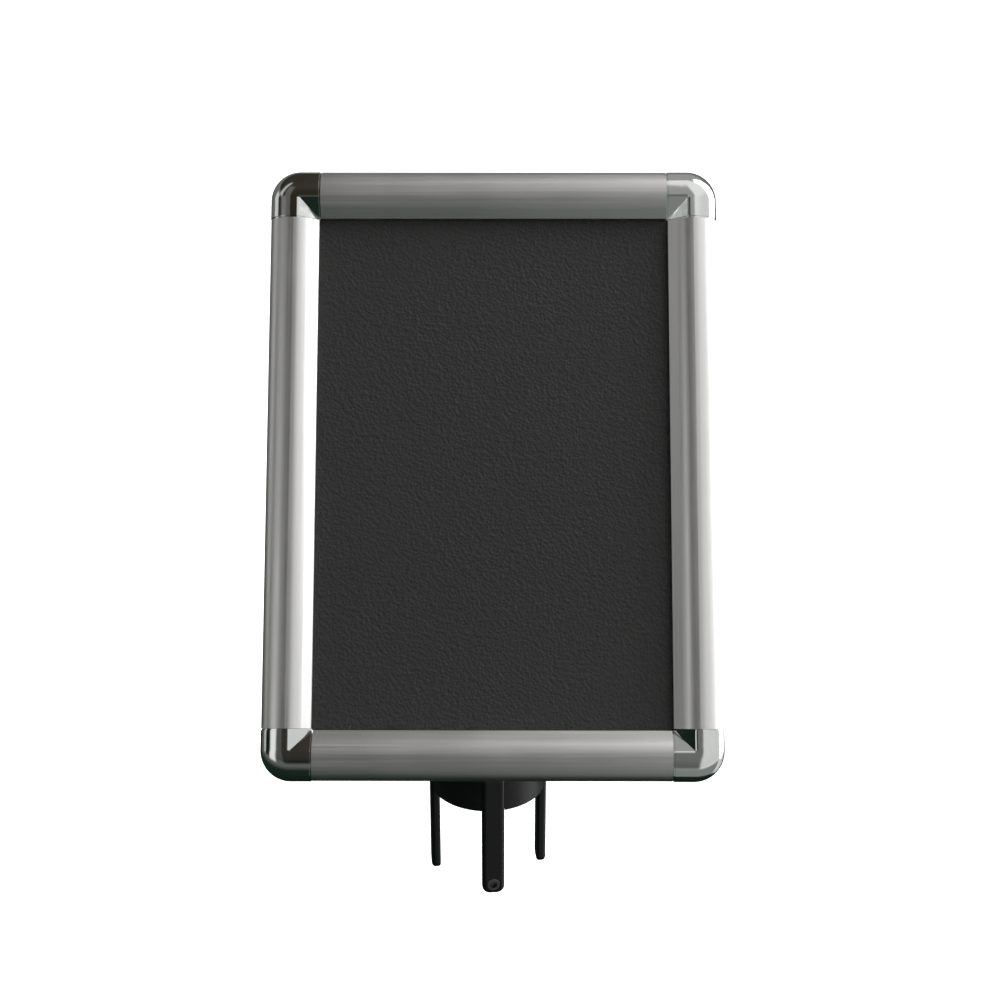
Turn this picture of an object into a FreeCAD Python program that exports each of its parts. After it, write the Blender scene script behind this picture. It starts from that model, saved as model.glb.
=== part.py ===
import FreeCAD, Part
import math
import os

# Post-top sign holder: an A4 snap frame that tilts and swivels on a cap with three claws.
#
# World frame, in millimetres: the origin is on the post's axis, at the underside of the seat
# pad, where the top of the post's head rests. +Z runs up the post, the sign faces -Y, and +X is
# to the right of someone who reads the sign.
#
# The sign is drawn in its own panel frame and then leaned back. There the origin is the centre
# of the frame's back plane, X is to the right, Z runs up the panel, and -Y is its front. In a
# rail's section, s is the distance inward from the frame's outer edge and n is the height above
# the back plane.

Vector = FreeCAD.Vector
Rotation = FreeCAD.Rotation
Placement = FreeCAD.Placement

X_AXIS = Vector(1, 0, 0)
Y_AXIS = Vector(0, 1, 0)
Z_AXIS = Vector(0, 0, 1)
ORIGIN = Vector(0, 0, 0)

# ---- driving dimensions --------------------------------------------------------------------

SHEET_WIDTH = 210.0         # A4 sheet
SHEET_HEIGHT = 297.0
SHEET_INSET = 17.5          # from the frame's outer edge to the sheet's edge
RAIL_WIDTH = 26.8
LEAN = 30.0                 # degrees back from upright at rest

FRAME_WIDTH = SHEET_WIDTH + 2 * SHEET_INSET
FRAME_HEIGHT = SHEET_HEIGHT + 2 * SHEET_INSET

# skin of the rails and corner caps
CROWN_S = 13.5
CROWN_N = 13.0
SHOULDER_N = 4.2            # where the outer quarter ellipse starts
CORNER_R = 16.5             # of the frame's outline
DOME_BEND_R = 14.5          # a rail's crown bends over this radius into a straight slope
CAP_BEND_R = 2.5            # a corner cap has a flat crown and a tight bend instead
CAP_CROWN_FLAT = 1.5
SLOPE = math.radians(37.0)
RAIL_SKIN = 1.3
RAIL_SETBACK = 0.1          # the rails' skin lies this much inside the corner caps' skin
LIP_N = 4.0                 # underside of the inner lip
LIP_WIDTH = 1.6

# base rail
FLOOR = 1.2
FLOOR_START = 0.6
FLOOR_END = 20.0
RIB_S = 2.6                 # centre of the hinge rib
RIB_N = 4.2
RIB_R = 1.5
NECK = 1.2
SLOT_CENTRE = 10.0
SLOT_HALF = 3.3
SLOT_MOUTH_HALF = 2.3
SLOT_WALL = 0.8
SLOT_TOP = 3.9
STOP_START = 15.8           # upstand that locates the board
STOP_END = 16.8
STOP_TOP = 3.6

# snap rail
SOCKET_R = RIB_R + 0.06
SOCKET_OUTER_R = 2.66
SOCKET_FROM = -60.0         # degrees from the inward direction, towards the front
SOCKET_TO = 140.0
CATCH_S = 10.6
CATCH_WIDTH = 1.2
CATCH_N = 8.6

CORNER_SIDE = 27.7          # side of the square that each corner takes up
RAIL_END_GAP = 0.1          # from the corner square to a snap rail's end
CAP_END_GAP = 0.05          # from the corner square to a corner cap's end
SHADOW_WIDTH = 0.8          # step round a corner cap's end, a shadow line beside the rail
SHADOW_DEPTH = 0.5

# corner caps and blocks
CAP_WALL = 1.8
BLOCK_CLEARANCE = 0.2
BLOCK_TOP = 2.9
TENON_LENGTH = 22.0
TENON_CLEARANCE = 0.1
CORNER_BOSS_R = 4.0
CORNER_SCREW_R = 2.0
CORNER_SCREW_END = 9.0
PILOT_END = 9.5
HEX_SHARE = 0.7             # hex socket of a countersunk screw, as a share of its radius

# board and cover
BOARD_TOP = 3.2
COVER_BOTTOM = 3.35         # a paper sheet goes between the board and the cover
COVER_TOP = 3.7
COVER_MARGIN = 0.5

# leaf springs
SPRING_LENGTH = 28.0
SPRING_THICKNESS = 0.6
SPRING_FOOT_END = 3.0       # from the slot's centre
SPRING_HEEL = -1.6
SPRING_TONGUE = [(-1.0, 5.5), (0.4, 6.9), (3.0, 8.2)]

# tilt bracket, placed from the pivot
PIVOT_Z = 24.0
PIVOT_BEHIND = 40.0         # from the back plane to the tilt axis
PIVOT_ABOVE_EDGE = 31.9     # from the panel's bottom edge up to the tilt axis
PIVOT_U = PIVOT_ABOVE_EDGE - FRAME_HEIGHT / 2
PANEL_SHIFT = 3.0           # the bracket sits this far left of the frame's middle
PLATE_HALF_WIDTH = 36.0
PLATE_THICKNESS = 4.0
PLATE_BOTTOM = 2.0 - FRAME_HEIGHT / 2
PLATE_TOP = 52.0 - FRAME_HEIGHT / 2
PLATE_CORNER_R = 6.0
ARM_HALF_WIDTH = 7.0
ARM_ROOT_TOP = PLATE_TOP - 3.5
KNUCKLE_R = 7.5
BRACKET_SCREW_X = 24.0
BRACKET_SCREW_R = 2.5
BRACKET_HEAD_R = 4.6
BRACKET_HEAD_HEIGHT = 2.8
BRACKET_SCREW_END = 3.3
BRACKET_HEX_R = 1.9
BRACKET_HEX_DEPTH = 1.6
FOAM_INSET = 2.0            # from the edges of the bracket plate
NUT_STRIP_HALF = 28.5
NUT_STRIP_TOP = 2.9

# yoke, tilt bolt and swivel
YOKE_R = 18.0
YOKE_BOTTOM = 11.0
YOKE_TOP = 14.5
YOKE_EDGE_R = 1.0
EAR_INNER = 8.0
EAR_OUTER = 13.5
EAR_R = 8.0
EAR_ROOT_HALF = 12.0
BOLT_R = 4.0
BOLT_TIP = 2.0              # how far the bolt's end stands out of its nut
BOLT_EDGE_R = 0.5
SCREWED_GAP = 0.02          # radial gap of a screw in its own thread
RUNNING_GAP = 0.05          # radial gap of a shaft that turns
HEX_HEAD_R = 7.5            # across corners, halved
HEX_HEAD_HEIGHT = 5.3
NUT_HEIGHT = 6.5
HEX_CROWN = 0.7             # how far the chamfer cuts a hexagon back at its outer face
TILT_WASHER_R = 7.5
SWIVEL_WASHER_R = 15.0
LOCK_WASHER_R = 7.5
SOCKET_HEAD_R = 6.5
SWIVEL_HEAD_BOTTOM = 0.8
SWIVEL_HEX_R = 3.4
SWIVEL_HEX_DEPTH = 2.6
LOCK_WASHER_BOTTOM = 4.95
LOCK_WASHER_TOP = 5.95

# post cap
CAP_R = 32.0
CAP_TOP = 10.0
CAP_BOTTOM = -14.5
CAP_ROUND = 4.0
CUP_R = 26.5
SEAT_R = 25.5               # recess above the cup that holds the seat pad
SEAT_PAD = 1.5
SEAT_HOLE_R = 9.0
COUNTERBORE_R = 8.0
COUNTERBORE_TOP = 6.0

# claws
CLAW_YAW = 6.0              # degrees that the claws are turned from the sign's axes
CLAW_WIDTH = 12.5
CLAW_INNER = 27.5
CLAW_OUTER = 32.7
CLAW_BOTTOM = -68.4
CLAW_SHOULDER_R = 7.0
CLAW_TIP_R = 4.5
CLAW_EDGE_R = 2.2
CLAW_BACK_EDGE_R = 1.5
FOOT_INNER = 17.0
FOOT_BOTTOM = 6.0
SLOT_PLAY = 0.1
CLAW_SCREW_RADIUS = 23.0    # from the post's axis to a claw's fixing screw
CLAW_SCREW_R = 2.5
CLAW_SCREW_END = 3.2
CLAMP_Z = -62.4
CLAMP_HOLE_R = 4.0
CLAMP_START = 27.7
CLAMP_END = 32.6
CLAMP_CHAMFER = 0.5
CLAMP_HEX_R = 2.3
CLAMP_HEX_DEPTH = 2.5

CUT_MARGIN = 5.0            # how far a cutting solid reaches past what it cuts
WELD = 1.0                  # how far two pieces of one solid reach into each other
PICK_TOLERANCE = 0.1        # for picking edges by where they lie
PARALLEL = 0.9              # and by the direction they run in, as a cosine

SIDES = {
    "left": (0.0, Vector(-FRAME_WIDTH / 2, 0, 0), FRAME_HEIGHT),
    "top": (90.0, Vector(0, 0, FRAME_HEIGHT / 2), FRAME_WIDTH),
    "right": (180.0, Vector(FRAME_WIDTH / 2, 0, 0), FRAME_HEIGHT),
    "bottom": (-90.0, Vector(0, 0, -FRAME_HEIGHT / 2), FRAME_WIDTH),
}
CORNERS = {
    "bottom_left": (0.0, Vector(-FRAME_WIDTH / 2, 0, -FRAME_HEIGHT / 2)),
    "top_left": (90.0, Vector(-FRAME_WIDTH / 2, 0, FRAME_HEIGHT / 2)),
    "top_right": (180.0, Vector(FRAME_WIDTH / 2, 0, FRAME_HEIGHT / 2)),
    "bottom_right": (-90.0, Vector(FRAME_WIDTH / 2, 0, -FRAME_HEIGHT / 2)),
}
CLAW_ANGLES = {"front": -90.0, "right": 0.0, "left": 180.0}


# ---- drawing helpers -----------------------------------------------------------------------

def at(s, n):
    """Point of a rail's section, which is drawn in the XY plane."""
    return Vector(s, -n, 0)


def polygon(points):
    return Part.Face(Part.makePolygon(points + points[:1]))


def slab(s_low, s_high, n_low, n_high):
    """Rectangle of a rail's section."""
    return polygon([at(s_low, n_low), at(s_high, n_low), at(s_high, n_high), at(s_low, n_high)])


def disc(s, n, radius):
    return Part.Face(Part.Wire(Part.Circle(at(s, n), Z_AXIS, radius).toShape()))


def fused(shapes):
    """One body from several that touch, with its split faces merged."""
    return shapes[0].fuse(shapes[1:]).removeSplitter()


def box(low, high):
    size = high.sub(low)
    return Part.makeBox(size.x, size.y, size.z, low)


def cylinder(radius, start, end):
    """Round bar between two points."""
    run = end.sub(start)
    return Part.makeCylinder(radius, run.Length, start, run)


def cone(radius_start, radius_end, start, end):
    run = end.sub(start)
    return Part.makeCone(radius_start, radius_end, run.Length, start, run)


def hexagon_bar(radius, start, end):
    """Hexagonal bar between two points, with its corners at the radius."""
    angles = [math.radians(60 * k) for k in range(6)]
    points = [Vector(radius * math.cos(angle), radius * math.sin(angle), 0) for angle in angles]
    run = end.sub(start)
    bar = polygon(points).extrude(Vector(0, 0, run.Length))
    bar.Placement = Placement(start, Rotation(Z_AXIS, run))
    return bar


def ribbon(points, thickness):
    """Bent strip of a rail's section: a band of even thickness about a line of points."""
    half = thickness / 2
    near, far = [], []
    for k, point in enumerate(points):
        before = point.sub(points[k - 1]) if k else points[1].sub(point)
        after = points[k + 1].sub(point) if k + 1 < len(points) else before
        before = Vector(before).normalize()
        after = Vector(after).normalize()
        bisector = before.add(after).normalize()
        across = Vector(-bisector.y, bisector.x, 0)
        reach = half / abs(across.dot(Vector(-after.y, after.x, 0)))
        near.append(point.add(across.multiply(reach)))
        far.append(point.add(point.sub(near[-1])))
    return polygon(near + far[::-1])


def rounded(shape, radius, chosen):
    """The shape with a fillet on the edges that the test picks by middle point and direction."""
    edges = []
    for edge in shape.Edges:
        middle = edge.valueAt((edge.FirstParameter + edge.LastParameter) / 2)
        run = edge.valueAt(edge.LastParameter).sub(edge.valueAt(edge.FirstParameter))
        if chosen(middle, run.multiply(1 / edge.Length)):
            edges.append(edge)
    return shape.makeFillet(radius, edges)


def near(point):
    """Test for the edges whose middle lies at a point."""
    return lambda middle, run: middle.sub(point).Length < PICK_TOLERANCE


def placed(shape, angle, offset):
    """Copy turned about the panel's Y axis and then moved, still in the panel frame."""
    copy = shape.copy()
    copy.rotate(ORIGIN, Y_AXIS, angle)
    copy.translate(offset)
    return copy


def leaned(shape, shift=PANEL_SHIFT):
    """From the panel frame to the world frame at rest; the bracket's own pieces aren't shifted."""
    copy = shape.copy()
    copy.translate(Vector(shift, -PIVOT_BEHIND, -PIVOT_U))
    copy.rotate(ORIGIN, X_AXIS, -LEAN)
    copy.translate(Vector(0, 0, PIVOT_Z))
    return copy


def turned(shape, angle):
    """Copy turned about the post's axis."""
    copy = shape.copy()
    copy.rotate(ORIGIN, Z_AXIS, angle)
    return copy


def export(name, shape):
    if not shape.isValid():
        raise ValueError(f"{name} isn't a valid shape")
    shape.exportStep(f"parts/{name}.step")
    print(f"{name}: {len(shape.Solids)} solid(s), {shape.Volume / 1000:.2f} cm3")


# ---- sections of the rails -----------------------------------------------------------------

def arc_points(centre_s, centre_n, radius, turn):
    """Start, middle and end of an arc that leaves its top point and turns towards the inside."""
    return [
        at(centre_s + radius * math.sin(turn * part), centre_n + radius * math.cos(turn * part))
        for part in (0, 0.5, 1)
    ]


def crown_edges(inset):
    """Flat top that a corner needs where its outline is rounder than its section."""
    return [Part.makeLine(at(CROWN_S, CROWN_N - inset), at(CORNER_R, CROWN_N - inset))]


def outer_half_edges(inset):
    """Quarter ellipse from the outer edge up to the crown."""
    centre = at(CROWN_S, SHOULDER_N)
    start = at(inset, SHOULDER_N)
    crown = at(CROWN_S, CROWN_N - inset)
    return [Part.ArcOfEllipse(Part.Ellipse(start, crown, centre), 0, math.pi / 2).toShape()]


def inner_half_edges(flat, bend_radius, inset, end):
    """Flat crown if there is one, then a bend and a straight slope down to s = end."""
    bend_s = CROWN_S + flat
    bend = arc_points(bend_s, CROWN_N - bend_radius, bend_radius - inset, SLOPE)
    foot = bend[-1].add(Vector(1, math.tan(SLOPE), 0) * (end - bend[-1].x))
    edges = [Part.Arc(*bend).toShape(), Part.makeLine(bend[-1], foot)]
    if flat:
        edges.insert(0, Part.makeLine(at(CROWN_S, CROWN_N - inset), bend[0]))
    return edges


def closed_section(edges, start, end, low):
    """Face under a run of edges that goes from s = start to s = end, down to n = low."""
    first = edges[0].valueAt(edges[0].FirstParameter)
    last = edges[-1].valueAt(edges[-1].LastParameter)
    corners = [last, at(end, low), at(start, low), first]
    lines = [Part.makeLine(corners[k], corners[k + 1]) for k in range(3)]
    return Part.Face(Part.Wire(edges + lines))


def filled_rail(inset, end, low):
    """Everything under a snap rail's skin."""
    edges = outer_half_edges(inset) + inner_half_edges(0, DOME_BEND_R, inset, end)
    return closed_section(edges, inset, end, low)


def filled_cap(inset, end, low):
    """Everything under a corner cap's skin, along one of its two sides."""
    edges = outer_half_edges(inset) + inner_half_edges(CAP_CROWN_FLAT, CAP_BEND_R, inset, end)
    return closed_section(edges, inset, end, low)


def filled_outer_half(inset, low):
    return closed_section(outer_half_edges(inset), inset, CROWN_S, low)


def swept(section, half):
    """Section drawn out along the rail's own axis, to the same distance each way."""
    solid = section.extrude(Vector(0, 0, 2 * half))
    solid.translate(Vector(0, 0, -half))
    return solid


def base_profile(half):
    slot_low = SLOT_CENTRE - SLOT_HALF
    slot_high = SLOT_CENTRE + SLOT_HALF
    hook_low = SLOT_TOP - SLOT_WALL
    sections = [
        slab(FLOOR_START, FLOOR_END, 0, FLOOR),
        slab(RIB_S - NECK / 2, RIB_S + NECK / 2, 0, RIB_N),
        disc(RIB_S, RIB_N, RIB_R),
        slab(slot_low - SLOT_WALL, slot_low, 0, SLOT_TOP),
        slab(slot_low - SLOT_WALL, SLOT_CENTRE - SLOT_MOUTH_HALF, hook_low, SLOT_TOP),
        slab(slot_high, slot_high + SLOT_WALL, 0, SLOT_TOP),
        slab(SLOT_CENTRE + SLOT_MOUTH_HALF, slot_high + SLOT_WALL, hook_low, SLOT_TOP),
        slab(STOP_START, STOP_END, 0, STOP_TOP),
    ]
    return fused([swept(section, half) for section in sections])


def socket_gap():
    """Wedge left out of the snap rail's socket, so that it can turn past the rib's neck."""
    reach = 3 * SOCKET_OUTER_R
    directions = (SOCKET_TO, 180.0, 230.0, 360.0 + SOCKET_FROM)
    points = [at(RIB_S, RIB_N)]
    for degrees in directions:
        angle = math.radians(degrees)
        points.append(at(RIB_S + reach * math.cos(angle), RIB_N + reach * math.sin(angle)))
    return polygon(points)


def snap_profile(half):
    inner = RAIL_SETBACK + RAIL_SKIN
    hollow = filled_rail(inner, RAIL_WIDTH - LIP_WIDTH, LIP_N - CUT_MARGIN)
    skin = swept(filled_rail(RAIL_SETBACK, RAIL_WIDTH, LIP_N), half)
    skin = skin.cut(swept(hollow, half))
    socket = swept(disc(RIB_S, RIB_N, SOCKET_OUTER_R), half)
    catch = swept(slab(CATCH_S, CATCH_S + CATCH_WIDTH, CATCH_N, CROWN_N - inner), half)
    whole = fused([skin, socket, catch])
    return whole.cut(swept(disc(RIB_S, RIB_N, SOCKET_R), half)).cut(swept(socket_gap(), half))


def spring_section():
    """Leaf spring: a foot in the slot and a tongue that rises under the catch."""
    foot_n = FLOOR + SPRING_THICKNESS / 2
    foot = [at(SLOT_CENTRE + SPRING_FOOT_END, foot_n), at(SLOT_CENTRE + SPRING_HEEL, foot_n)]
    tongue = [at(SLOT_CENTRE + s, n) for s, n in SPRING_TONGUE]
    return ribbon(foot + tongue, SPRING_THICKNESS)


# ---- the snap frame ------------------------------------------------------------------------

def base_rail(side):
    angle, offset, length = SIDES[side]
    rail = base_profile(length / 2 - CORNER_SIDE)
    if side == "bottom":
        for x in (-BRACKET_SCREW_X, BRACKET_SCREW_X):
            hole = cylinder(BRACKET_SCREW_R + RUNNING_GAP,
                            Vector(SLOT_CENTRE, CUT_MARGIN, PANEL_SHIFT - x),
                            Vector(SLOT_CENTRE, -CUT_MARGIN, PANEL_SHIFT - x))
            rail = rail.cut(hole)
    return placed(rail, angle, offset)


def snap_rail(side):
    angle, offset, length = SIDES[side]
    half = length / 2 - CORNER_SIDE - RAIL_END_GAP
    return placed(snap_profile(half), angle, offset)


def leaf_springs(side):
    angle, offset, length = SIDES[side]
    opening = length - 2 * RAIL_WIDTH
    springs = []
    for place in (-opening / 4, opening / 4):
        spring = swept(spring_section(), SPRING_LENGTH / 2)
        spring.translate(Z_AXIS * place)
        springs.append(spring)
    return placed(Part.makeCompound(springs), angle, offset)


def swap_directions(shape):
    """Mirror image across the corner's diagonal, which swaps its two rails."""
    return shape.mirror(ORIGIN, Vector(1, 0, -1).normalize())


def corner_fill(inset, end, low):
    """Solid under a corner's skin: two rail stubs, and the outer half swung round the corner."""
    stub = filled_cap(inset, end, low)
    stub = stub.extrude(Z_AXIS * (end - CORNER_R))
    stub.translate(Z_AXIS * CORNER_R)
    swing = closed_section(outer_half_edges(inset) + crown_edges(inset), inset, CORNER_R, low)
    swing.translate(Z_AXIS * CORNER_R)
    swing = swing.revolve(Vector(CORNER_R, 0, CORNER_R), Y_AXIS, -90)
    return fused([stub, swap_directions(stub), swing])


def corner_slab(low, high, n_low, n_high):
    """Square plate over a corner, rounded about the same centre as the skin."""
    plate = box(Vector(low, -n_high, low), Vector(high, -n_low, high))
    middle_n = -(n_low + n_high) / 2
    return rounded(plate, CORNER_R - low, near(Vector(low, middle_n, low)))


def corner_cap():
    end = CORNER_SIDE - CAP_END_GAP
    shell = fused([corner_fill(0, end - SHADOW_WIDTH, 0), corner_fill(SHADOW_DEPTH, end, 0)])
    shell = shell.cut(corner_fill(CAP_WALL, end - CAP_WALL, -CUT_MARGIN))
    shell = shell.cut(corner_slab(CAP_WALL, CORNER_SIDE + CUT_MARGIN, -CUT_MARGIN, LIP_N))
    boss_foot = Vector(CROWN_S, -BLOCK_TOP, CROWN_S)
    boss_head = Vector(CROWN_S, -(CROWN_N - CAP_WALL / 2), CROWN_S)
    shell = fused([shell, cylinder(CORNER_BOSS_R, boss_foot, boss_head)])
    pilot_end = Vector(CROWN_S, -PILOT_END, CROWN_S)
    return shell.cut(cylinder(CORNER_SCREW_R + SCREWED_GAP, boss_foot, pilot_end))


def corner_block():
    low = CAP_WALL + BLOCK_CLEARANCE
    end = CORNER_SIDE
    lower = corner_slab(low, end, 0, FLOOR)
    lower = lower.cut(box(Vector(FLOOR_END, -FLOOR, FLOOR_END), Vector(end, 0, end)))
    upper = corner_slab(low, end, FLOOR, BLOCK_TOP)
    upper = upper.cut(box(Vector(STOP_END, -BLOCK_TOP, STOP_END), Vector(end, -FLOOR, end)))
    tenon = box(
        Vector(SLOT_CENTRE - SLOT_HALF + TENON_CLEARANCE, -BLOCK_TOP, end),
        Vector(SLOT_CENTRE + SLOT_HALF - TENON_CLEARANCE, -FLOOR, end + TENON_LENGTH))
    block = fused([lower, upper, tenon, swap_directions(tenon)])
    shank = cylinder(CORNER_SCREW_R + SCREWED_GAP,
                     Vector(CROWN_S, CUT_MARGIN, CROWN_S),
                     Vector(CROWN_S, -CUT_MARGIN, CROWN_S))
    sink = cone(2 * CORNER_SCREW_R + SCREWED_GAP, CORNER_SCREW_R + SCREWED_GAP,
                Vector(CROWN_S, 0, CROWN_S),
                Vector(CROWN_S, -CORNER_SCREW_R, CROWN_S))
    return block.cut(shank).cut(sink)


def countersunk_screw(radius, length):
    """Countersunk screw with its head face at the origin and its shank along +Z."""
    head = cone(2 * radius, radius, ORIGIN, Vector(0, 0, radius))
    shank = cylinder(radius, Vector(0, 0, radius), Vector(0, 0, length))
    recess = hexagon_bar(radius * HEX_SHARE, Z_AXIS * -CUT_MARGIN, Z_AXIS * radius)
    return fused([head, shank]).cut(recess)


def corner_screw():
    screw = countersunk_screw(CORNER_SCREW_R, CORNER_SCREW_END)
    screw.rotate(ORIGIN, X_AXIS, 90)
    screw.translate(Vector(CROWN_S, 0, CROWN_S))
    return screw


def sheet(width, height, n_low, n_high):
    return box(Vector(-width / 2, -n_high, -height / 2), Vector(width / 2, -n_low, height / 2))


# ---- tilt bracket --------------------------------------------------------------------------

def tangent_point(centre, radius, point, side):
    """Where a line from a point touches a circle, in the plane x = 0; side is +1 or -1."""
    run = point.sub(centre)
    angle = math.atan2(run.z, run.y) + side * math.acos(radius / run.Length)
    return centre.add(Vector(0, radius * math.cos(angle), radius * math.sin(angle)))


def lug(centre, radius, first, second, half_width):
    """Solid across X: an eye about the centre that widens to a straight root."""
    turn = first.sub(centre).cross(second.sub(centre)).x
    side = -math.copysign(1, turn)
    outline = polygon([
        first,
        tangent_point(centre, radius, first, side),
        centre,
        tangent_point(centre, radius, second, -side),
        second,
    ])
    web = outline.extrude(Vector(2 * half_width, 0, 0))
    web.translate(Vector(-half_width, 0, 0))
    eye = cylinder(radius, centre.sub(X_AXIS * half_width), centre.add(X_AXIS * half_width))
    return fused([web, eye])


def tilt_bracket():
    plate = box(Vector(-PLATE_HALF_WIDTH, 0, PLATE_BOTTOM),
                Vector(PLATE_HALF_WIDTH, PLATE_THICKNESS, PLATE_TOP))
    plate = rounded(plate, PLATE_CORNER_R, lambda middle, run: abs(run.y) > PARALLEL)
    pivot = Vector(0, PIVOT_BEHIND, PIVOT_U)
    root = PLATE_THICKNESS
    arm = lug(pivot, KNUCKLE_R, Vector(0, root, ARM_ROOT_TOP),
              Vector(0, root, PIVOT_U - KNUCKLE_R), ARM_HALF_WIDTH)
    bracket = fused([plate, arm])
    reach = X_AXIS * (ARM_HALF_WIDTH + CUT_MARGIN)
    bracket = bracket.cut(cylinder(BOLT_R + RUNNING_GAP, pivot.sub(reach), pivot.add(reach)))
    for x in (-BRACKET_SCREW_X, BRACKET_SCREW_X):
        bracket = bracket.cut(cylinder(
            BRACKET_SCREW_R + RUNNING_GAP,
            Vector(x, -CUT_MARGIN, SLOT_CENTRE - FRAME_HEIGHT / 2),
            Vector(x, PLATE_THICKNESS + CUT_MARGIN, SLOT_CENTRE - FRAME_HEIGHT / 2)))
    return bracket


def bracket_screw(x):
    z = SLOT_CENTRE - FRAME_HEIGHT / 2
    head_back = Vector(x, PLATE_THICKNESS + BRACKET_HEAD_HEIGHT, z)
    head_front = Vector(x, PLATE_THICKNESS, z)
    head = cylinder(BRACKET_HEAD_R, head_front, head_back)
    head = rounded(head, BRACKET_HEAD_HEIGHT / 2,
                   lambda middle, run: middle.y > head_back.y - PICK_TOLERANCE)
    shank = cylinder(BRACKET_SCREW_R, Vector(x, -BRACKET_SCREW_END, z), head_front)
    recess = hexagon_bar(BRACKET_HEX_R, head_back.sub(Y_AXIS * BRACKET_HEX_DEPTH),
                         head_back.add(Y_AXIS))
    return fused([head, shank]).cut(recess)


def nut_strip():
    z = SLOT_CENTRE - FRAME_HEIGHT / 2
    half = SLOT_HALF - TENON_CLEARANCE
    strip = box(Vector(-NUT_STRIP_HALF, -NUT_STRIP_TOP, z - half),
                Vector(NUT_STRIP_HALF, -FLOOR, z + half))
    for x in (-BRACKET_SCREW_X, BRACKET_SCREW_X):
        strip = strip.cut(cylinder(BRACKET_SCREW_R + SCREWED_GAP,
                                   Vector(x, -CUT_MARGIN, z), Vector(x, CUT_MARGIN, z)))
    return strip


def foam_pad():
    half = PLATE_HALF_WIDTH - FOAM_INSET
    return box(Vector(-half, -FLOOR, FLOOR_END + FOAM_INSET / 2 - FRAME_HEIGHT / 2),
               Vector(half, 0, PLATE_TOP - FOAM_INSET))


# ---- yoke, tilt bolt and swivel ------------------------------------------------------------

def yoke():
    base = cylinder(YOKE_R, Vector(0, 0, YOKE_BOTTOM), Vector(0, 0, YOKE_TOP))
    base = rounded(base, YOKE_EDGE_R,
                   lambda middle, run: middle.z > YOKE_TOP - PICK_TOLERANCE)
    half = (EAR_OUTER - EAR_INNER) / 2
    root = YOKE_TOP - WELD
    solids = [base]
    for sign in (-1, 1):
        ear = lug(Vector(0, 0, PIVOT_Z), EAR_R, Vector(0, EAR_ROOT_HALF, root),
                  Vector(0, -EAR_ROOT_HALF, root), half)
        ear.translate(X_AXIS * sign * (EAR_INNER + half))
        solids.append(ear)
    whole = fused(solids)
    reach = X_AXIS * (EAR_OUTER + CUT_MARGIN)
    pivot = Vector(0, 0, PIVOT_Z)
    whole = whole.cut(cylinder(BOLT_R + SCREWED_GAP, pivot.sub(reach), pivot.add(reach)))
    return whole.cut(cylinder(BOLT_R + SCREWED_GAP, Vector(0, 0, YOKE_BOTTOM - CUT_MARGIN),
                              Vector(0, 0, YOKE_TOP + CUT_MARGIN)))


def chamfer_cone(start, end):
    """Cone that takes the corners off the outer face of a hexagon."""
    run = end.sub(start).Length
    return cone(HEX_HEAD_R - HEX_CROWN + run / 2, HEX_HEAD_R - HEX_CROWN, start, end)


def tilt_bolt():
    head_start = Vector(EAR_OUTER, 0, PIVOT_Z)
    head_end = Vector(EAR_OUTER + HEX_HEAD_HEIGHT, 0, PIVOT_Z)
    tip = Vector(-EAR_OUTER - NUT_HEIGHT - BOLT_TIP, 0, PIVOT_Z)
    head = hexagon_bar(HEX_HEAD_R, head_start, head_end)
    head = head.common(chamfer_cone(head_start, head_end))
    shank = cylinder(BOLT_R, tip, head_start)
    shank = rounded(shank, BOLT_EDGE_R,
                    lambda middle, run: middle.x < tip.x + PICK_TOLERANCE)
    return fused([head, shank])


def tilt_nut():
    start = Vector(-EAR_OUTER, 0, PIVOT_Z)
    end = Vector(-EAR_OUTER - NUT_HEIGHT, 0, PIVOT_Z)
    nut = hexagon_bar(HEX_HEAD_R, start, end)
    nut = nut.common(chamfer_cone(start, end))
    return nut.cut(cylinder(BOLT_R + SCREWED_GAP, start.add(X_AXIS), end.sub(X_AXIS)))


def ring(radius, hole, start, end):
    return cylinder(radius, start, end).cut(cylinder(hole, start, end))


def tilt_washers():
    rings = []
    for sign in (-1, 1):
        rings.append(ring(TILT_WASHER_R, BOLT_R + RUNNING_GAP,
                          Vector(sign * (ARM_HALF_WIDTH + RUNNING_GAP), 0, PIVOT_Z),
                          Vector(sign * EAR_INNER, 0, PIVOT_Z)))
    return Part.makeCompound(rings)


def swivel_bolt():
    head_top = Vector(0, 0, LOCK_WASHER_BOTTOM)
    head_bottom = Vector(0, 0, SWIVEL_HEAD_BOTTOM)
    head = cylinder(SOCKET_HEAD_R, head_bottom, head_top)
    head = rounded(head, BOLT_EDGE_R,
                   lambda middle, run: middle.z < SWIVEL_HEAD_BOTTOM + PICK_TOLERANCE)
    shank = cylinder(BOLT_R, head_top, Vector(0, 0, YOKE_TOP))
    recess = hexagon_bar(SWIVEL_HEX_R, head_bottom.sub(Z_AXIS),
                         head_bottom.add(Z_AXIS * SWIVEL_HEX_DEPTH))
    return fused([head, shank]).cut(recess)


def lock_washer():
    return ring(LOCK_WASHER_R, BOLT_R + RUNNING_GAP,
                Vector(0, 0, LOCK_WASHER_BOTTOM), Vector(0, 0, LOCK_WASHER_TOP))


def swivel_washer():
    return ring(SWIVEL_WASHER_R, BOLT_R + RUNNING_GAP,
                Vector(0, 0, CAP_TOP + RUNNING_GAP), Vector(0, 0, YOKE_BOTTOM))


# ---- post cap and claws --------------------------------------------------------------------

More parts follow.
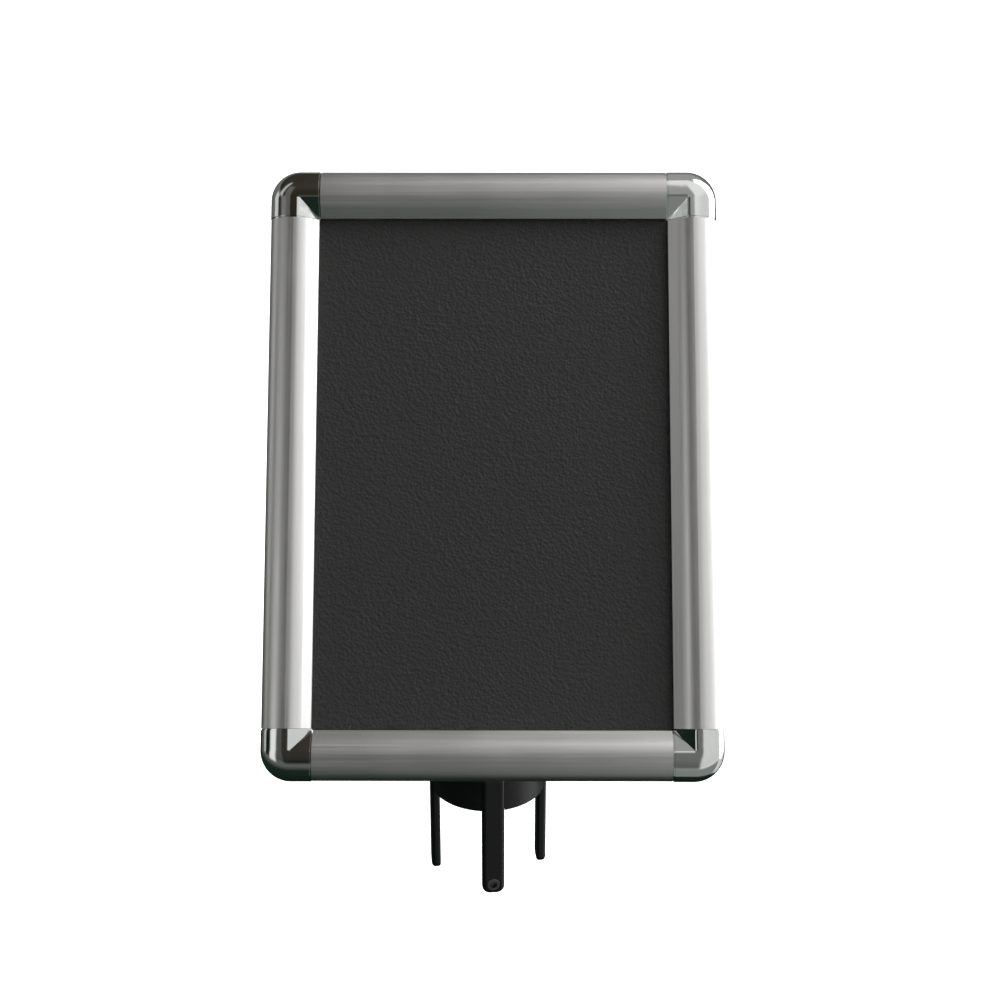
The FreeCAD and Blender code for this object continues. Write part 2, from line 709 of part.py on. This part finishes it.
def claw_pocket():
    """Room for one claw in the post cap, pointing along +X."""
    half = CLAW_WIDTH / 2 + SLOT_PLAY
    wall = box(Vector(CLAW_INNER, -half, CAP_BOTTOM - CUT_MARGIN),
               Vector(CAP_R + CUT_MARGIN, half, CAP_TOP + CUT_MARGIN))
    foot = box(Vector(FOOT_INNER - SLOT_PLAY, -half, FOOT_BOTTOM),
               Vector(CAP_R, half, CAP_TOP + CUT_MARGIN))
    screw = cylinder(CLAW_SCREW_R + SCREWED_GAP, Vector(CLAW_SCREW_RADIUS, 0, CLAW_SCREW_END),
                     Vector(CLAW_SCREW_RADIUS, 0, CAP_TOP))
    return fused([wall, foot, screw])


def post_cap():
    body = cylinder(CAP_R, Vector(0, 0, CAP_BOTTOM), Vector(0, 0, CAP_TOP))
    body = rounded(body, CAP_ROUND, lambda middle, run: middle.z > CAP_TOP - PICK_TOLERANCE)
    body = body.cut(cylinder(CUP_R, Vector(0, 0, CAP_BOTTOM), ORIGIN))
    body = body.cut(cylinder(SEAT_R, ORIGIN, Z_AXIS * SEAT_PAD))
    body = body.cut(cylinder(COUNTERBORE_R, ORIGIN, Z_AXIS * COUNTERBORE_TOP))
    body = body.cut(cylinder(BOLT_R + RUNNING_GAP, ORIGIN, Z_AXIS * CAP_TOP))
    for angle in CLAW_ANGLES.values():
        body = body.cut(turned(claw_pocket(), angle + CLAW_YAW))
    return body


def seat_pad():
    return ring(SEAT_R - SLOT_PLAY, SEAT_HOLE_R, ORIGIN, Z_AXIS * SEAT_PAD)


def claw():
    """L-shaped claw that points along +X: a foot on the cap and a leg down the post."""
    corner = Vector(CLAW_OUTER - CLAW_SHOULDER_R, 0, CAP_TOP - CLAW_SHOULDER_R)
    middle = corner.add(Vector(1, 0, 1).normalize() * CLAW_SHOULDER_R)
    shoulder_top = Vector(corner.x, 0, CAP_TOP)
    shoulder_out = Vector(CLAW_OUTER, 0, corner.z)
    line = [
        shoulder_out,
        Vector(CLAW_OUTER, 0, CLAW_BOTTOM),
        Vector(CLAW_INNER, 0, CLAW_BOTTOM),
        Vector(CLAW_INNER, 0, FOOT_BOTTOM),
        Vector(FOOT_INNER, 0, FOOT_BOTTOM),
        Vector(FOOT_INNER, 0, CAP_TOP),
        shoulder_top,
    ]
    edges = [Part.makeLine(line[k], line[k + 1]) for k in range(len(line) - 1)]
    edges.append(Part.Arc(shoulder_top, middle, shoulder_out).toShape())
    body = Part.Face(Part.Wire(edges)).extrude(Y_AXIS * CLAW_WIDTH)
    body.translate(Y_AXIS * (-CLAW_WIDTH / 2))
    low = CLAW_BOTTOM + PICK_TOLERANCE
    body = rounded(body, CLAW_TIP_R,
                   lambda middle, run: abs(run.x) > PARALLEL and middle.z < low)
    outer = CLAW_OUTER - PICK_TOLERANCE
    high = shoulder_out.z - PICK_TOLERANCE
    body = rounded(body, CLAW_EDGE_R,
                   lambda middle, run: middle.x > outer and middle.z < high)
    body = rounded(body, CLAW_BACK_EDGE_R,
                   lambda middle, run: abs(middle.x - CLAW_INNER) < PICK_TOLERANCE
                   and middle.z < FOOT_BOTTOM - PICK_TOLERANCE)
    hole = cylinder(CLAMP_HOLE_R, Vector(0, 0, CLAMP_Z), Vector(2 * CLAW_OUTER, 0, CLAMP_Z))
    shank = cylinder(CLAW_SCREW_R + SCREWED_GAP, Vector(CLAW_SCREW_RADIUS, 0, 0),
                     Vector(CLAW_SCREW_RADIUS, 0, CAP_TOP))
    sink = cone(CLAW_SCREW_R + SCREWED_GAP, 2 * CLAW_SCREW_R + SCREWED_GAP,
                Vector(CLAW_SCREW_RADIUS, 0, CAP_TOP - CLAW_SCREW_R),
                Vector(CLAW_SCREW_RADIUS, 0, CAP_TOP))
    return body.cut(hole).cut(shank).cut(sink)


def claw_screw():
    screw = countersunk_screw(CLAW_SCREW_R, CAP_TOP - CLAW_SCREW_END)
    screw.rotate(ORIGIN, X_AXIS, 180)
    screw.translate(Vector(CLAW_SCREW_RADIUS, 0, CAP_TOP))
    return screw


def clamp_screw():
    """Set screw with a hex socket, lying along +X in a claw's tip."""
    tip = Vector(CLAMP_START, 0, CLAMP_Z)
    end = Vector(CLAMP_END, 0, CLAMP_Z)
    radius = CLAMP_HOLE_R - RUNNING_GAP
    body = cylinder(radius, tip, end)
    body = body.makeChamfer(CLAMP_CHAMFER, [e for e in body.Edges if e.Length > radius * 6])
    socket = hexagon_bar(CLAMP_HEX_R, end.sub(X_AXIS * CLAMP_HEX_DEPTH), end.add(X_AXIS))
    return body.cut(socket)


# ---- build ---------------------------------------------------------------------------------

def build_frame():
    for side in SIDES:
        export(f"base_rail_{side}", leaned(base_rail(side)))
        export(f"snap_rail_{side}", leaned(snap_rail(side)))
        export(f"leaf_springs_{side}", leaned(leaf_springs(side)))
    cap = corner_cap()
    block = corner_block()
    screws = []
    for corner, (angle, offset) in CORNERS.items():
        export(f"corner_cap_{corner}", leaned(placed(cap, angle, offset)))
        export(f"corner_block_{corner}", leaned(placed(block, angle, offset)))
        screws.append(placed(corner_screw(), angle, offset))
    export("corner_screws", leaned(Part.makeCompound(screws)))
    export("back_board", leaned(sheet(SHEET_WIDTH, SHEET_HEIGHT, FLOOR, BOARD_TOP)))
    export("clear_cover", leaned(sheet(SHEET_WIDTH - 2 * COVER_MARGIN,
                                       SHEET_HEIGHT - 2 * COVER_MARGIN, COVER_BOTTOM, COVER_TOP)))


def build_bracket():
    export("tilt_bracket", leaned(tilt_bracket(), 0))
    screws = [bracket_screw(x) for x in (-BRACKET_SCREW_X, BRACKET_SCREW_X)]
    export("bracket_screws", leaned(Part.makeCompound(screws), 0))
    export("nut_strip", leaned(nut_strip(), 0))
    export("foam_pad", leaned(foam_pad(), 0))


def build_yoke():
    export("yoke", yoke())
    export("tilt_bolt", tilt_bolt())
    export("tilt_nut", tilt_nut())
    export("tilt_washers", tilt_washers())
    export("swivel_bolt", swivel_bolt())
    export("lock_washer", lock_washer())
    export("swivel_washer", swivel_washer())


def build_cap():
    export("post_cap", post_cap())
    export("seat_pad", seat_pad())
    screws = []
    for name, angle in CLAW_ANGLES.items():
        export(f"claw_{name}", turned(claw(), angle + CLAW_YAW))
        export(f"clamp_screw_{name}", turned(clamp_screw(), angle + CLAW_YAW))
        screws.append(turned(claw_screw(), angle + CLAW_YAW))
    export("claw_screws", Part.makeCompound(screws))


os.makedirs("parts", exist_ok=True)
build_frame()
build_bracket()
build_yoke()
build_cap()
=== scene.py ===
import math

import bpy
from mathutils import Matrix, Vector


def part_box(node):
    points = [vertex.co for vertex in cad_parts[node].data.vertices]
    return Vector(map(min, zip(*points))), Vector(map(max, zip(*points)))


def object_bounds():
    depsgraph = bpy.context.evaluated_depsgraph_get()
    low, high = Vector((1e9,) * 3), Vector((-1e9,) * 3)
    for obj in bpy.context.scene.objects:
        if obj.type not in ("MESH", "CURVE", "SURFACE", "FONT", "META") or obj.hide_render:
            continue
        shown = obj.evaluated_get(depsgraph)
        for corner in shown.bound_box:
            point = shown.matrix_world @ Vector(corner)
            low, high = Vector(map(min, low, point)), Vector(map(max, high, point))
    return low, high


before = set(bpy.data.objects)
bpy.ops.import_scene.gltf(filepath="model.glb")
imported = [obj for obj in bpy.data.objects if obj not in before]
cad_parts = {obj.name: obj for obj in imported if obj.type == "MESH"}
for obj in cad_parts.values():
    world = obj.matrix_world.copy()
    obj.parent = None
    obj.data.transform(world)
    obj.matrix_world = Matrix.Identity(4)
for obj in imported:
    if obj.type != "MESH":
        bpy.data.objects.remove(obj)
cad_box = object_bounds()

# Looks of the post-top sign holder: materials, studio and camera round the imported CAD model.
# Everything is in metres, in the CAD model's frame: +Z up the post, the sign faces -Y.

# ---- what the CAD says ---------------------------------------------------------------------

LEAN = math.radians(30)                 # the sign's lean at rest
board_low, board_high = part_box("back_board")
BOARD_CENTRE = (board_low + board_high) / 2

# ---- chosen by fitting to the photograph ---------------------------------------------------

LINES_ACROSS, LINES_DRAWN = 1400.0, 9.0  # noise scales across and along the drawn lines

# The camera, from the board's centre; the angles are in degrees.
CAMERA_OFFSET = Vector((0.0062, -0.8217, 0.3241))
CAMERA_DOWN = 22.56
CAMERA_YAW = 0.17
SENSOR_WIDTH = 36.0                     # mm
LENS = 58.8                             # mm

POST_HEIGHT = 0.95
FLOOR_SIZE = 30.0

# Surroundings, from straight down (0) to straight up (1).
DARKEST = (0.008, 0.014, 0.010)
SKY = (
    (0.00, DARKEST),
    (0.38, (0.012, 0.024, 0.017)),
    (0.50, (0.135, 0.14, 0.135)),
    (0.62, (0.18, 0.18, 0.175)),
    (0.85, (0.235, 0.23, 0.22)),
    (1.00, (0.23, 0.225, 0.215)),
)

# Soft-edged patches on the surroundings, placed so that the rails and the caps reflect
# light and dark where the photograph shows them. A negative one darkens. Angles are in degrees,
# azimuth 0 towards -Y and 90 towards +X.
WINDOWS = (
    # azimuth span, elevation span, softness, brightness added
    ((16, 80), (-12, 88), 6, 0.60),
    ((3, 179), (44, 90), 8, 0.16),
    ((82, 118), (-14, 70), 6, 8.0),
    ((74, 118), (-48, -14), 8, 0.7),
    ((2, 80), (-48, -8), 8, 0.24),
    ((-80, -64), (38, 68), 5, 0.50),
    ((-54, -27), (38, 62), 5, 0.11),
    ((-98, -78), (0, 34), 6, 0.52),
    ((-57, -36), (0, 34), 7, 0.80),
    ((-78, -59), (2, 34), 5, -0.16),
    ((-34, -1), (8, 40), 6, -0.08),
    ((-179, -2), (40, 90), 6, -0.19),
    ((-17, -1), (4, 40), 5, -0.07),
)


# ---- node helpers --------------------------------------------------------------------------

def add(tree, kind, settings=None, **inputs):
    """New node; an input's value is a socket to link from, or a constant."""
    made = tree.nodes.new(kind)
    for key, value in (settings or {}).items():
        setattr(made, key, value)
    for key, value in inputs.items():
        socket = made.inputs[key.replace("_", " ")]
        if isinstance(value, bpy.types.NodeSocket):
            tree.links.new(value, socket)
        else:
            socket.default_value = value
    return made


def maths(tree, operation, *values):
    """Math node's result; each value is a socket or a constant."""
    made = tree.nodes.new("ShaderNodeMath")
    made.operation = operation
    for k, value in enumerate(values):
        if isinstance(value, bpy.types.NodeSocket):
            tree.links.new(value, made.inputs[k])
        else:
            made.inputs[k].default_value = value
    return made.outputs[0]


def remap(tree, value, low, high, to_low, to_high, smooth=False):
    """Value moved from the range low..high to the range to_low..to_high."""
    kind = "SMOOTHSTEP" if smooth else "LINEAR"
    made = add(tree, "ShaderNodeMapRange", {"interpolation_type": kind}, Value=value)
    ends = (("From Min", low), ("From Max", high), ("To Min", to_low), ("To Max", to_high))
    for name, number in ends:
        made.inputs[name].default_value = number
    return made.outputs["Result"]


def blend_colour(tree, factor, first, second):
    """Colour between the first and the second."""
    made = tree.nodes.new("ShaderNodeMix")
    made.data_type = "RGBA"
    for name, value in (("Factor_Float", factor), ("A_Color", first), ("B_Color", second)):
        socket = next(s for s in made.inputs if s.identifier == name)
        if isinstance(value, bpy.types.NodeSocket):
            tree.links.new(value, socket)
        else:
            socket.default_value = value
    return next(s for s in made.outputs if s.identifier == "Result_Color")


def grey(value, tint=(1, 1, 1)):
    return (value * tint[0], value * tint[1], value * tint[2], 1)


class Finish:
    """A Principled material, with object coordinates and texture helpers."""

    def __init__(self, name, **constants):
        self.material = bpy.data.materials.new(name)
        self.material.use_nodes = True
        self.tree = self.material.node_tree
        self.shader = self.tree.nodes["Principled BSDF"]
        self.coordinates = add(self.tree, "ShaderNodeTexCoord").outputs["Object"]
        for key, value in constants.items():
            self.shader.inputs[key.replace("_", " ")].default_value = value

    def leaned(self, scale):
        """Coordinates along the sign's own axes, scaled."""
        turned = add(self.tree, "ShaderNodeMapping", Vector=self.coordinates,
                     Rotation=(LEAN, 0, 0))
        return self.scaled(turned.outputs[0], scale)

    def scaled(self, vector, scale):
        made = self.tree.nodes.new("ShaderNodeVectorMath")
        made.operation = "MULTIPLY"
        self.tree.links.new(vector, made.inputs[0])
        made.inputs[1].default_value = scale
        return made.outputs[0]

    def noise(self, vector, scale=1.0, detail=2.0, roughness=0.5):
        return add(self.tree, "ShaderNodeTexNoise", Vector=vector, Scale=scale, Detail=detail,
                   Roughness=roughness).outputs["Fac"]

    def cells(self, vector, scale, feature="F1", smoothness=0.3):
        made = self.tree.nodes.new("ShaderNodeTexVoronoi")
        made.feature = feature
        self.tree.links.new(vector, made.inputs["Vector"])
        made.inputs["Scale"].default_value = scale
        if feature == "SMOOTH_F1":
            made.inputs["Smoothness"].default_value = smoothness
        return made.outputs["Distance"]

    def set(self, name, socket):
        self.tree.links.new(socket, self.shader.inputs[name])

    def bump(self, height, distance, strength=1.0):
        made = add(self.tree, "ShaderNodeBump", Height=height, Distance=distance, Strength=strength)
        previous = self.shader.inputs["Normal"]
        if previous.is_linked:
            self.tree.links.new(previous.links[0].from_socket, made.inputs["Normal"])
        self.set("Normal", made.outputs[0])


# ---- materials -----------------------------------------------------------------------------

def brushed(name, base, roughness, along, spread=0.05, tint=(1, 1, 1)):
    """Extruded metal with fine lines along one of the sign's axes."""
    finish = Finish(name, Metallic=1.0)
    scale = [LINES_ACROSS] * 3
    scale[along] = LINES_DRAWN
    lines = finish.noise(finish.leaned(scale), detail=3.0, roughness=0.6)
    patches = finish.noise(finish.leaned((28, 28, 28)), detail=2.0)
    finish.set("Base Color", blend_colour(
        finish.tree, lines, grey(base * 0.93, tint), grey(base * 1.07, tint)))
    worn = maths(finish.tree, "ADD", remap(finish.tree, lines, 0.3, 0.7, -spread, spread),
                 remap(finish.tree, patches, 0.3, 0.7, roughness - 0.02, roughness + 0.02))
    finish.set("Roughness", worn)
    finish.bump(lines, 0.00001)
    return finish.material


def plated(name, base, roughness, tint):
    """Polished plating: faint haze, and the slight waviness of a casting under it."""
    finish = Finish(name, Metallic=1.0)
    haze = finish.noise(finish.coordinates, 160.0, 4.0)
    waves = finish.noise(finish.coordinates, 210.0, 1.0)
    finish.set("Base Color", blend_colour(
        finish.tree, haze, grey(base * 0.97, tint), grey(base * 1.02, tint)))
    finish.set("Roughness", remap(
        finish.tree, haze, 0.3, 0.7, roughness - 0.02, roughness + 0.03))
    finish.bump(waves, 0.00003)
    return finish.material


def leather_board():
    """Charcoal plastic sheet with a moulded leather grain."""
    finish = Finish("board_charcoal", IOR=1.48)
    panel = finish.leaned((1, 1, 1))
    grain = finish.cells(panel, 620.0, "SMOOTH_F1", 0.4)
    wrinkles = finish.noise(panel, 380.0, 4.0, 0.6)
    mottle = finish.noise(panel, 14.0, 3.0)
    finish.set("Base Color", blend_colour(
        finish.tree, mottle, grey(0.034, (1.0, 1.03, 1.02)), grey(0.044, (1.0, 1.02, 1.0))))
    finish.set("Roughness", remap(finish.tree, wrinkles, 0.3, 0.7, 0.42, 0.55))
    finish.bump(grain, 0.0005, 0.8)
    finish.bump(wrinkles, 0.0006, 0.8)
    return finish.material


def clear_sheet():
    """Thin clear plastic with an anti-glare face."""
    finish = Finish("clear_cover", IOR=1.47, Alpha=0.16)
    panel = finish.leaned((1, 1, 1))
    speckle = finish.noise(panel, 2600.0, 2.0)
    drift = finish.noise(panel, 9.0, 2.0)
    finish.set("Base Color", blend_colour(finish.tree, drift, grey(0.05), grey(0.06)))
    finish.set("Roughness", remap(finish.tree, speckle, 0.3, 0.7, 0.38, 0.46))
    finish.bump(speckle, 0.00002)
    return finish.material


def powder_coat(name, base, roughness):
    """Matt paint with a fine orange peel and uneven dust."""
    finish = Finish(name, IOR=1.5)
    peel = finish.noise(finish.coordinates, 900.0, 2.0)
    dust = finish.noise(finish.coordinates, 90.0, 4.0, 0.65)
    finish.set("Base Color", blend_colour(
        finish.tree, dust, grey(base, (0.97, 1.0, 0.98)), grey(base * 1.25, (0.98, 1.0, 1.0))))
    finish.set("Roughness", remap(
        finish.tree, dust, 0.3, 0.7, roughness - 0.04, roughness + 0.06))
    finish.bump(peel, 0.00006, 0.5)
    return finish.material


def cast_metal(name, base, roughness, tint):
    """Plated or cast metal with a spangle and faint stains."""
    finish = Finish(name, Metallic=1.0)
    spangle = finish.cells(finish.coordinates, 420.0)
    stain = finish.noise(finish.coordinates, 120.0, 4.0, 0.6)
    finish.set("Base Color", blend_colour(
        finish.tree, stain, grey(base * 0.85, tint), grey(base * 1.1, tint)))
    finish.set("Roughness", remap(
        finish.tree, spangle, 0.0, 0.8, roughness - 0.05, roughness + 0.08))
    finish.bump(stain, 0.00005, 0.5)
    return finish.material


def soft_plastic(name, base, roughness, tint=(1, 1, 1)):
    """Moulded rubber or plastic with fine pores."""
    finish = Finish(name, IOR=1.48)
    pores = finish.noise(finish.coordinates, 1500.0, 3.0)
    tone = finish.noise(finish.coordinates, 60.0, 2.0)
    finish.set("Base Color", blend_colour(
        finish.tree, tone, grey(base * 0.9, tint), grey(base * 1.1, tint)))
    finish.set("Roughness", remap(
        finish.tree, pores, 0.3, 0.7, roughness - 0.05, roughness + 0.05))
    finish.bump(pores, 0.00008, 0.6)
    return finish.material


X, Z = 0, 2
rail_upright = brushed("anodised_upright", 0.70, 0.37, Z, tint=(1.0, 0.995, 0.985))
rail_level = brushed("anodised_level", 0.70, 0.37, X, tint=(1.0, 0.995, 0.985))
base_upright = brushed("mill_upright", 0.58, 0.42, Z, 0.08)
base_level = brushed("mill_level", 0.58, 0.42, X, 0.08)
chrome = plated("chrome", 0.74, 0.09, (0.98, 1.0, 0.985))
zinc = cast_metal("zinc", 0.42, 0.48, (1.0, 0.99, 0.97))
spring = cast_metal("spring_steel", 0.45, 0.3, (1.0, 0.98, 0.94))
fastener = cast_metal("bright_fastener", 0.55, 0.28, (1.0, 1.0, 1.0))
dark_screw = cast_metal("dark_fastener", 0.2, 0.35, (1.0, 0.98, 0.95))
black = powder_coat("black_paint", 0.008, 0.34)
board = leather_board()
cover = clear_sheet()
rubber = soft_plastic("black_rubber", 0.018, 0.75)
nylon = soft_plastic("nylon", 0.62, 0.4, (1.0, 0.98, 0.92))


def material_of(node):
    """The material of a CAD node, from the start of its name."""
    if node.startswith("snap_rail"):
        return rail_upright if node.endswith(("left", "right")) else rail_level
    if node.startswith("base_rail"):
        return base_upright if node.endswith(("left", "right")) else base_level
    for start, material in (
        ("corner_cap", chrome), ("corner_block", zinc), ("nut_strip", zinc),
        ("leaf_springs", spring), ("back_board", board), ("clear_cover", cover),
        ("tilt_bracket", black), ("yoke", black), ("post_cap", black),
        ("claw_screws", fastener), ("claw", black), ("clamp_screw", dark_screw),
        ("seat_pad", rubber), ("foam_pad", rubber),
        ("swivel_washer", nylon), ("tilt_washers", nylon),
    ):
        if node.startswith(start):
            return material
    return fastener


for name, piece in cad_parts.items():
    piece.data.materials.clear()
    piece.data.materials.append(material_of(name))


# ---- studio --------------------------------------------------------------------------------

def window(tree, azimuth, elevation, span_a, span_e, soft):
    """1 inside a soft-edged patch of the surroundings, 0 outside it."""
    parts = []
    for value, (low, high) in ((azimuth, span_a), (elevation, span_e)):
        for edge, before, after in ((low, 0, 1), (high, 1, 0)):
            parts.append(remap(tree, value, math.radians(edge - soft / 2),
                               math.radians(edge + soft / 2), before, after, True))
    product = parts[0]
    for part in parts[1:]:
        product = maths(tree, "MULTIPLY", product, part)
    return product


def surroundings():
    """The studio round the object: a graded sky with windows. The camera sees plain white."""
    world = bpy.data.worlds.new("studio")
    bpy.context.scene.world = world
    world.use_nodes = True
    tree = world.node_tree
    tree.nodes.clear()
    direction = add(tree, "ShaderNodeTexCoord").outputs["Generated"]
    parts = add(tree, "ShaderNodeSeparateXYZ", Vector=direction).outputs
    azimuth = maths(tree, "ARCTAN2", parts["X"], maths(tree, "MULTIPLY", parts["Y"], -1.0))
    elevation = maths(tree, "ARCSINE", parts["Z"])

    ramp = tree.nodes.new("ShaderNodeValToRGB")
    ramp.color_ramp.interpolation = "EASE"
    elements = ramp.color_ramp.elements
    while len(elements) < len(SKY):
        elements.new(0.5)
    for element, (place, colour) in zip(elements, SKY):
        element.position = place
        element.color = (*colour, 1)
    tree.links.new(remap(tree, elevation, -math.pi / 2, math.pi / 2, 0, 1), ramp.inputs[0])
    light = ramp.outputs[0]

    for span_a, span_e, soft, brightness in WINDOWS:
        shape = window(tree, azimuth, elevation, span_a, span_e, soft)
        made = add(tree, "ShaderNodeVectorMath", {"operation": "SCALE"}, Scale=shape)
        made.inputs[0].default_value = (brightness, brightness, brightness)
        total = tree.nodes.new("ShaderNodeVectorMath")
        total.operation = "ADD"
        tree.links.new(light, total.inputs[0])
        tree.links.new(made.outputs[0], total.inputs[1])
        light = total.outputs[0]
    clamped = tree.nodes.new("ShaderNodeVectorMath")
    clamped.operation = "MAXIMUM"
    tree.links.new(light, clamped.inputs[0])
    clamped.inputs[1].default_value = DARKEST
    light = clamped.outputs[0]

    seen = add(tree, "ShaderNodeBackground", Color=(1, 1, 1, 1), Strength=1.0)
    lit = add(tree, "ShaderNodeBackground", Color=light, Strength=1.0)
    mix = tree.nodes.new("ShaderNodeMixShader")
    tree.links.new(add(tree, "ShaderNodeLightPath").outputs["Is Camera Ray"], mix.inputs[0])
    tree.links.new(lit.outputs[0], mix.inputs[1])
    tree.links.new(seen.outputs[0], mix.inputs[2])
    output = tree.nodes.new("ShaderNodeOutputWorld")
    tree.links.new(mix.outputs[0], output.inputs["Surface"])


def pale_floor():
    """White floor, one post's height below the holder; it gives no light to the object."""
    mesh = bpy.data.meshes.new("floor")
    half = FLOOR_SIZE / 2
    z = cad_box[0].z - POST_HEIGHT
    corners = [(x * half, y * half, z) for x, y in ((-1, -1), (1, -1), (1, 1), (-1, 1))]
    mesh.from_pydata(corners, [], [(0, 1, 2, 3)])
    floor = bpy.data.objects.new("floor", mesh)
    bpy.context.scene.collection.objects.link(floor)
    material = bpy.data.materials.new("floor_white")
    material.use_nodes = True
    tree = material.node_tree
    shader = tree.nodes["Principled BSDF"]
    shader.inputs["Base Color"].default_value = (0.9, 0.9, 0.9, 1)
    shader.inputs["Roughness"].default_value = 0.9
    shader.inputs["Emission Color"].default_value = (1, 1, 1, 1)
    shader.inputs["Emission Strength"].default_value = 1.0
    mesh.materials.append(material)
    floor.visible_glossy = False
    floor.visible_diffuse = False
    floor.visible_transmission = False


def camera():
    """The photograph's viewpoint: in front, above, and looking down at the leaning sign."""
    data = bpy.data.cameras.new("camera")
    data.sensor_width = SENSOR_WIDTH
    data.lens = LENS
    made = bpy.data.objects.new("camera", data)
    bpy.context.scene.collection.objects.link(made)
    made.location = BOARD_CENTRE + CAMERA_OFFSET
    made.rotation_euler = (math.radians(90 - CAMERA_DOWN), 0, math.radians(CAMERA_YAW))
    bpy.context.scene.camera = made


surroundings()
pale_floor()
camera()
bpy.context.scene.view_settings.view_transform = "Standard"
